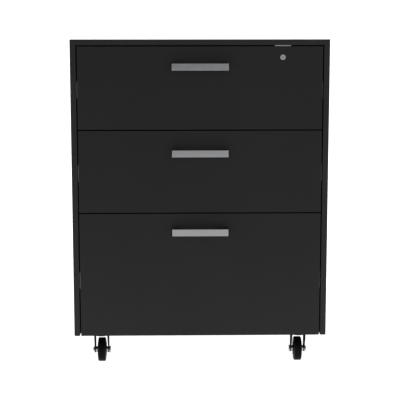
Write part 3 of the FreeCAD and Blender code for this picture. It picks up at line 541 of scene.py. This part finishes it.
# %% coated steel finish
COAT_DARK = (0.0050, 0.0050, 0.0053)
COAT_LIGHT = (0.0075, 0.0075, 0.0080)
BARE_RIM = (0.04, 0.04, 0.04)
COAT_ROUGHNESS = 0.75
COAT_SPECULAR = 0.04
RIM_WIDTH = 0.2 * MM
SKIN_DEPTH = 0.03 * MM


def coated(name, dark, light, rim, roughness):
    finish = Finish(name, specular=COAT_SPECULAR)
    skin = finish.noise(scale=700.0, detail=2.0)
    cloud = finish.noise(scale=45.0, detail=4.0)
    base = finish.blend(finish.spread(cloud, 0.0, 1.0), dark, light)
    mask = finish.edge_mask(RIM_WIDTH)
    patches = finish.spread(finish.noise(scale=260.0, detail=3.0), 0.0, 0.35)
    bare = finish.product(mask, patches)
    finish.bump(skin, depth=SKIN_DEPTH, strength=0.35)
    return finish.done(finish.blend(bare, base, rim), finish.spread(skin, roughness - 0.04, roughness + 0.05))


FINISHES["caster_steel"] = coated("caster_steel", COAT_DARK, COAT_LIGHT, BARE_RIM, COAT_ROUGHNESS)
print("coated steel made")

# %% [markdown]
# ## Beech and rubber
#
# The dowels are beech: straight grain, with short darker flecks. The flecks are a noise that is drawn out
# four times along Z. Half of the dowels stand and half lie, so a stronger grain would look wrong on half of
# them. The wheels are black rubber, which is dull and very finely pitted. Dust from the floor lightens it a
# little and dulls it in patches, so one noise drives both.

# %% beech finish
BEECH_PALE = (0.66, 0.47, 0.29)
BEECH_DARK = (0.50, 0.33, 0.18)
GRAIN = (1.0, 1.0, 0.25)
GRAIN_DEPTH = 0.04 * MM

beech = Finish("dowel_wood", specular=0.3)
fleck = beech.noise(scale=500.0, detail=4.0, stretch=GRAIN)
beech.bump(fleck, depth=GRAIN_DEPTH, strength=0.5)
FINISHES["dowel_wood"] = beech.done(
    beech.blend(beech.spread(fleck, 0.0, 1.0), BEECH_PALE, BEECH_DARK),
    beech.spread(fleck, 0.5, 0.68))
print("beech made")

# %% rubber finish
RUBBER_BLACK = (0.0032, 0.0032, 0.0034)
RUBBER_DUSTY = (0.0065, 0.0062, 0.0059)
PIT_DEPTH = 0.03 * MM

rubber = Finish("wheel_rubber", specular=0.06)
dust = rubber.noise(scale=55.0, detail=6.0)
pits = rubber.noise(scale=1500.0, detail=2.0)
rubber.bump(pits, depth=PIT_DEPTH, strength=0.5)
FINISHES["wheel_rubber"] = rubber.done(
    rubber.blend(rubber.spread(dust, 0.0, 1.0, floor=0.4, ceiling=0.8), RUBBER_BLACK, RUBBER_DUSTY),
    rubber.spread(dust, 0.34, 0.55))
print("finishes:", len(FINISHES))

# %% [markdown]
# ## Giving the finishes to the parts
#
# Each part of the frame arrives with a material that is named for its finish. Only the material slot is
# changed, so the mesh stays exactly as it was loaded.

# %% dress every part of the frame
SLOT_OF = {}
for name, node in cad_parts.items():
    for material_slot in node.material_slots:
        SLOT_OF[name] = material_slot.material.name.split(".")[0]
for name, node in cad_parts.items():
    for material_slot in node.material_slots:
        material_slot.material = FINISHES[SLOT_OF[name]]
print("dressed:", len(SLOT_OF), "parts in", len(set(SLOT_OF.values())), "finishes")


# %% helper: settle a new piece among them
def settle(piece, body, node_names, slot_name):
    """Gives a new piece its finish and its body, and hides the parts of the frame that it stands for."""
    piece.data.materials.clear()
    piece.data.materials.append(FINISHES[slot_name])
    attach(piece, body)
    if node_names:
        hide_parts(*node_names)
    print(f"{piece.name}: {len(piece.data.polygons)} faces, rides on {body}")


print("settle ready, for pieces that are modelled below")

# %% [markdown]
# ## The handles
#
# Each handle is one flat strip, folded four times: a grip, two legs, and two feet that turn inwards and lie
# on the drawer front. It could be an outline pushed up to its height, but pulling it from a block shows the
# order of the folds. The grip is a thin block. Two cuts mark off its ends, their backs are pulled towards the
# drawer to make the legs, pulled once more by the strip's thickness, and the feet grow inwards from there.
# The feet are lower than the grip, so that the hand's side of the handle hides them.
# A fold is never a knife edge, so the folds get a wider bevel than the rims of the strip.

# %% handle sizes
STRIP = 3.6 * MM
FOOT_LENGTH = 22 * MM
FOOT_HEIGHT = 8 * MM
FOLD_OUTSIDE = 1.3 * MM
FOLD_INSIDE = 0.7 * MM
OUTSIDE_SEGMENTS = 5
INSIDE_SEGMENTS = 4
RIM_ROUND = 0.35 * MM
NEAR = 0.1 * MM
EXACT = 0.01 * MM
print("strip", STRIP / MM, "mm, feet", FOOT_HEIGHT / MM, "mm high")


# %% find the edges of a fold
def fold_edges(piece, spots):
    """Upright edges at any of these (x, y) spots."""
    def near(edge):
        first, second = ends_of(piece, edge)
        upright = abs(first.x - second.x) < EXACT and abs(first.y - second.y) < EXACT
        return upright and any(abs(abs(first.x) - x) < NEAR and abs(first.y - y) < NEAR for x, y in spots)
    return near


print("a fold is found by its place")


# %% model one handle
def model_handle(name, node):
    low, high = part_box(node)
    end_x = high.x
    leg_x = end_x - STRIP
    grip_back = low.y + STRIP
    foot_front = high.y - STRIP
    piece = start_block(name, low, (high.x, grip_back, high.z))
    for side in (-1, 1):
        choose(piece, "faces", lambda f: True)
        bpy.ops.mesh.bisect(plane_co=(side * leg_x, 0, 0), plane_no=(1, 0, 0))
        bpy.ops.object.mode_set(mode="OBJECT")
    choose(piece, "faces", lambda f: f.normal.y > FACING and abs(f.center.x) > leg_x)
    pull((0, foot_front - grip_back, 0))
    pull((0, STRIP, 0))
    bpy.ops.object.mode_set(mode="OBJECT")
    middle_z = (low.z + high.z) / 2
    for side in (-1, 1):
        choose(piece, "faces", lambda f: f.center.y > foot_front)
        bpy.ops.mesh.bisect(plane_co=(0, 0, middle_z + side * FOOT_HEIGHT / 2), plane_no=(0, 0, 1))
        bpy.ops.object.mode_set(mode="OBJECT")
    for side in (-1, 1):
        choose(piece, "faces", lambda f: f.normal.x * side < -FACING and f.center.x * side > 0
               and f.center.y > foot_front and abs(f.center.z - middle_z) < FOOT_HEIGHT / 2)
        pull((side * -(FOOT_LENGTH - STRIP), 0, 0))
        bpy.ops.object.mode_set(mode="OBJECT")
    choose(piece, "edges", fold_edges(piece, [(end_x, low.y), (end_x, high.y)]))
    bpy.ops.mesh.bevel(offset=FOLD_OUTSIDE, segments=OUTSIDE_SEGMENTS, affect="EDGES")
    bpy.ops.object.mode_set(mode="OBJECT")
    choose(piece, "edges", fold_edges(piece, [(leg_x, grip_back), (leg_x, foot_front)]))
    bpy.ops.mesh.bevel(offset=FOLD_INSIDE, segments=INSIDE_SEGMENTS, affect="EDGES")
    soften(piece, RIM_ROUND)
    return close_up(piece)


handles = {"top": model_handle("top_handle", "top_drawer_handle")}
print("top handle:", len(handles["top"].data.polygons), "faces")

# %% copy the handle to the other drawers
first_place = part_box("top_drawer_handle")[0]
for drawer in ("middle", "bottom"):
    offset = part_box(f"{drawer}_drawer_handle")[0] - first_place
    handles[drawer] = twin(handles["top"], f"{drawer}_handle", offset)
for drawer, piece in handles.items():
    settle(piece, f"{drawer}_drawer", [f"{drawer}_drawer_handle"], "handle_metal")

# %% [markdown]
# ## The wheels
#
# A small caster wheel is a tyre moulded round a stiff core. The tyre is a short tube: a disc whose two flat
# ends are inset and then bridged through, with the corners of its tread well rounded. The core is a disc
# too. Its ends are inset to leave a rim, pushed in to make the thin web, inset again, and pulled back
# out as the hub that the spacers press on. Eight ribs run from hub to rim, made by pulling every ninth
# face of the web, and a bore for the axle is bridged right through. Both could be spun from an outline, but
# insets and pulls leave the web's faces in place for the ribs.

# %% wheel sizes
WHEEL_SIDES = 72
RIB_EVERY = 9
TYRE_INSIDE = 17.4 * MM
TREAD_HALF = 7.8 * MM
TYRE_BEAD_HALF = 9.1 * MM
CORE_HALF = 8.8 * MM
RIM_INSIDE = 15.0 * MM
WEB_HALF = 2.6 * MM
RIB_HALF = 7.8 * MM
HUB_OUTSIDE = 9.0 * MM
AXLE_BORE = 4.08 * MM
TREAD_ROUND = 2.2 * MM
TREAD_SEGMENTS = 6
TYRE_SOFT = 0.3 * MM
CORE_SOFT = 0.25 * MM
print("tread", 2 * TREAD_HALF / MM, "mm wide, ribs:", WHEEL_SIDES // RIB_EVERY)


# %% helpers for a wheel
MANY_SIDES = 8


def is_end(face, side):
    """One of the many-sided faces that close a disc."""
    return face.normal.x * side > FACING and len(face.vertices) > MANY_SIDES


def middle_of(node):
    low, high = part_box(node)
    return (low + high) / 2


wheel_low, wheel_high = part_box("front_left_caster_wheel")
print("wheel", round((wheel_high.z - wheel_low.z) / MM, 1), "mm across")


# %% model a tyre
def model_tyre(name, centre, radius):
    piece = start_disc(name, centre, radius, 2 * TREAD_HALF, WHEEL_SIDES)
    choose(piece, "faces", lambda f: is_end(f, 1) or is_end(f, -1))
    bpy.ops.mesh.inset(thickness=radius - TYRE_INSIDE)
    bpy.ops.object.mode_set(mode="OBJECT")
    for side in (-1, 1):
        choose(piece, "faces", lambda f: is_end(f, side))
        bpy.ops.transform.translate(value=(side * (TYRE_BEAD_HALF - TREAD_HALF), 0, 0))
        bpy.ops.object.mode_set(mode="OBJECT")
    choose(piece, "faces", lambda f: is_end(f, 1) or is_end(f, -1))
    bpy.ops.mesh.bridge_edge_loops()
    bpy.ops.object.mode_set(mode="OBJECT")

    def on_tread_corner(edge):
        ends = ends_of(piece, edge)
        runs_round = abs(ends[0].x - ends[1].x) < NEAR
        return runs_round and all(math.hypot(co.y - centre.y, co.z - centre.z) > radius - NEAR for co in ends)
    choose(piece, "edges", on_tread_corner)
    bpy.ops.mesh.bevel(offset=TREAD_ROUND, segments=TREAD_SEGMENTS, affect="EDGES")
    soften(piece, TYRE_SOFT, angle=55)
    return close_up(piece, smooth_angle=50)


home = middle_of("front_left_caster_wheel")
tyres = {"front_left": model_tyre("front_left_tyre", home, (wheel_high.z - wheel_low.z) / 2)}
print("tyre:", len(tyres["front_left"].data.polygons), "faces")


# %% model a core
def model_core(name, centre, hub_half):
    piece = start_disc(name, centre, TYRE_INSIDE, 2 * CORE_HALF, WHEEL_SIDES)
    for side in (-1, 1):
        choose(piece, "faces", lambda f: is_end(f, side))
        bpy.ops.mesh.inset(thickness=TYRE_INSIDE - RIM_INSIDE)
        pull((side * (WEB_HALF - CORE_HALF), 0, 0))
        bpy.ops.mesh.inset(thickness=RIM_INSIDE - HUB_OUTSIDE)
        pull((side * (hub_half - WEB_HALF), 0, 0))
        bpy.ops.mesh.inset(thickness=HUB_OUTSIDE - AXLE_BORE)
        bpy.ops.object.mode_set(mode="OBJECT")
    choose(piece, "faces", lambda f: is_end(f, 1) or is_end(f, -1))
    bpy.ops.mesh.bridge_edge_loops()
    bpy.ops.object.mode_set(mode="OBJECT")
    step = 2 * math.pi / WHEEL_SIDES
    for side in (-1, 1):
        def is_rib(face):
            offset = face.center - centre
            on_web = face.normal.x * side > FACING and abs(offset.x * side - WEB_HALF) < NEAR
            past_hub = math.hypot(offset.y, offset.z) > HUB_OUTSIDE
            number = round(math.atan2(offset.z, offset.y) / step - 0.5)
            return on_web and past_hub and number % RIB_EVERY == 0
        choose(piece, "faces", is_rib)
        pull((side * (RIB_HALF - WEB_HALF), 0, 0))
        bpy.ops.object.mode_set(mode="OBJECT")
    soften(piece, CORE_SOFT, angle=50)
    return close_up(piece, smooth_angle=50)


cores = {"front_left": model_core("front_left_wheel_core", home, (wheel_high.x - wheel_low.x) / 2)}
print("core:", len(cores["front_left"].data.polygons), "faces")

# %% four wheels from one
CASTERS = ("front_left", "front_right", "rear_left", "rear_right")

for caster in CASTERS[1:]:
    move = middle_of(f"{caster}_caster_wheel") - home
    tyres[caster] = twin(tyres["front_left"], f"{caster}_tyre", move)
    cores[caster] = twin(cores["front_left"], f"{caster}_wheel_core", move)
for caster in CASTERS:
    settle(tyres[caster], f"{caster}_wheel", [f"{caster}_caster_wheel"], "wheel_rubber")
    settle(cores[caster], f"{caster}_wheel", [], "wheel_rubber")

# %% [markdown]
# ## The axle bolts
#
# The bolt's hexagonal head faces inwards and a cap nut closes its outer end. A hexagon is a cylinder with
# six sides, and turning its corners off gives the round face that a spanner slides over. The cap is half of
# a sphere, cut by a plane that is filled, so that it stays closed, and then flattened. Two spacers keep
# the wheel in the middle of the fork.

# %% axle sizes
SHANK_RADIUS = 4.0 * MM
HEX_RADIUS = 12.5 * MM / math.sqrt(3)
HEAD_LENGTH = 3.4 * MM
NUT_LENGTH = 2.6 * MM
CAP_LENGTH = 2.6 * MM
CAP_RADIUS = 5.7 * MM
SPACER_RADIUS = 6.5 * MM
SPACER_PLAY = 0.05 * MM
FORK_STEEL = 2.2 * MM
HUB_PLAY = 0.3 * MM
ROUND_SIDES = 32
INTO_HEAD = 0.5 * MM
CHAMFER = 0.7 * MM
CHAMFER_SEGMENTS = 3
HEXAGON_SIDES = 6
HEXAGON_SOFT = 0.15 * MM
SHANK_SOFT = 0.4 * MM
SPACER_SOFT = 0.2 * MM
print("hexagon", round(HEX_RADIUS * math.sqrt(3) / MM, 2), "mm across its flats")


# %% model a hexagon
def model_hexagon(name, centre, length, open_side):
    """A six-sided block on the axle, its far face ringed by a turned chamfer."""
    piece = start_disc(name, centre, HEX_RADIUS, length, HEXAGON_SIDES)

    def far_rim(edge):
        return all((co.x - centre.x) * open_side > length / 2 - EXACT for co in ends_of(piece, edge))
    choose(piece, "edges", far_rim)
    bpy.ops.mesh.bevel(offset=CHAMFER, segments=CHAMFER_SEGMENTS, affect="EDGES")
    soften(piece, HEXAGON_SOFT)
    return close_up(piece)


print("hexagon ready")


# %% model the nut's cap
def model_cap(name, foot, side):
    piece = start(name, bpy.ops.mesh.primitive_uv_sphere_add, segments=ROUND_SIDES,
                  ring_count=ROUND_SIDES // 2, radius=CAP_RADIUS, location=foot, rotation=(0, math.pi / 2, 0))
    bpy.ops.object.mode_set(mode="EDIT")
    bpy.ops.mesh.select_all(action="SELECT")
    bpy.ops.mesh.bisect(plane_co=foot, plane_no=(side, 0, 0), use_fill=True, clear_inner=True)
    bpy.ops.mesh.select_all(action="SELECT")
    bpy.ops.transform.resize(value=(CAP_LENGTH / CAP_RADIUS, 1, 1), center_override=foot)
    bpy.ops.object.mode_set(mode="OBJECT")
    return close_up(piece)


print("cap ready")


# %% model a spacer
def model_spacer(name, start_x, end_x, centre):
    place = Vector(((start_x + end_x) / 2, centre.y, centre.z))
    piece = start_disc(name, place, SPACER_RADIUS, abs(end_x - start_x), ROUND_SIDES)
    choose(piece, "faces", lambda f: is_end(f, 1) or is_end(f, -1))
    bpy.ops.mesh.inset(thickness=SPACER_RADIUS - SHANK_RADIUS - SPACER_PLAY)
    bpy.ops.object.mode_set(mode="OBJECT")
    choose(piece, "faces", lambda f: is_end(f, 1) or is_end(f, -1))
    bpy.ops.mesh.bridge_edge_loops()
    soften(piece, SPACER_SOFT, angle=60)
    return close_up(piece)


print("spacer ready")


# %% model an axle set
def model_axle_set(caster):
    low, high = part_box(f"{caster}_caster_axle")
    centre = middle_of(f"{caster}_caster_wheel")
    out = 1 if centre.x > 0 else -1
    tip_x, head_x = (high.x, low.x) if out > 0 else (low.x, high.x)
    leg_out_x = tip_x - out * (NUT_LENGTH + CAP_LENGTH)
    leg_in_x = head_x + out * HEAD_LENGTH

    def on_axle(x):
        return Vector((x, centre.y, centre.z))
    shank_end = leg_out_x + out * (NUT_LENGTH - INTO_HEAD)
    shank_start = leg_in_x - out * INTO_HEAD
    shank = start_disc(f"{caster}_axle_shank", on_axle((shank_start + shank_end) / 2), SHANK_RADIUS,
                       abs(shank_end - shank_start), ROUND_SIDES)
    soften(shank, SHANK_SOFT)
    close_up(shank)
    head = model_hexagon(f"{caster}_axle_head", on_axle(leg_in_x - out * HEAD_LENGTH / 2), HEAD_LENGTH, -out)
    bolt = joined(f"{caster}_axle_bolt", [head, shank])
    nut_body = model_hexagon(f"{caster}_nut_body", on_axle(leg_out_x + out * NUT_LENGTH / 2), NUT_LENGTH, out)
    cap = model_cap(f"{caster}_nut_cap", on_axle(leg_out_x + out * NUT_LENGTH), out)
    nut = joined(f"{caster}_cap_nut", [nut_body, cap])
    hub_end = (wheel_high.x - wheel_low.x) / 2 + HUB_PLAY
    leg_inside = abs(leg_out_x - centre.x) - FORK_STEEL
    rings = []
    for side in (-1, 1):
        start_x = centre.x + side * hub_end
        end_x = centre.x + side * leg_inside
        rings.append(model_spacer(f"{caster}_spacer", start_x, end_x, centre))
    spacers = joined(f"{caster}_axle_spacers", rings)
    return bolt, nut, spacers


print("axle set ready")

# %% an axle set for each caster
for caster in CASTERS:
    bolt, nut, spacers = model_axle_set(caster)
    settle(bolt, f"{caster}_fork", [f"{caster}_caster_axle"], "axle_steel")
    settle(nut, f"{caster}_fork", [], "axle_steel")
    settle(spacers, f"{caster}_fork", [], "axle_steel")

# %% [markdown]
# ## The floor's own finish
#
# The paper lies on a light table, a common way to take a dark product with almost no shadow: the sheet
# glows evenly under and behind the cabinet, and fades out in front of it, so that the glow doesn't flood
# the dark drawer fronts. Paper is never quite one white, so it gets a faint cloud too.

# %% floor finish
GLOW_START = -1.10
GLOW_FULL = -0.42
GLOW = 0.95
GLOW_IN_FRONT = 0.22
PAPER_DULL = (0.93, 0.93, 0.93)
PAPER_CLEAN = (0.95, 0.95, 0.95)
PAPER_DEPTH = 0.05 * MM

paper = Finish("studio_paper", specular=0.2)
fibre = paper.noise(scale=3.0, detail=6.0)
paper.bump(paper.noise(scale=300.0, detail=3.0), depth=PAPER_DEPTH, strength=0.2)
parts_of_place = paper.nodes.new("ShaderNodeSeparateXYZ")
paper.links.new(paper.place, parts_of_place.inputs["Vector"])
glow = paper.spread(parts_of_place.outputs["Y"], GLOW_IN_FRONT, GLOW, floor=GLOW_START, ceiling=GLOW_FULL)
paper.links.new(glow, paper.shader.inputs["Emission Strength"])
paper.shader.inputs["Emission Color"].default_value = (1, 1, 1, 1)
floor.data.materials.append(paper.done(
    paper.blend(paper.spread(fibre, 0.0, 1.0), PAPER_DULL, PAPER_CLEAN),
    paper.spread(fibre, 0.86, 0.94)))
print("floor glow:", GLOW_IN_FRONT, "in front,", GLOW, "behind")
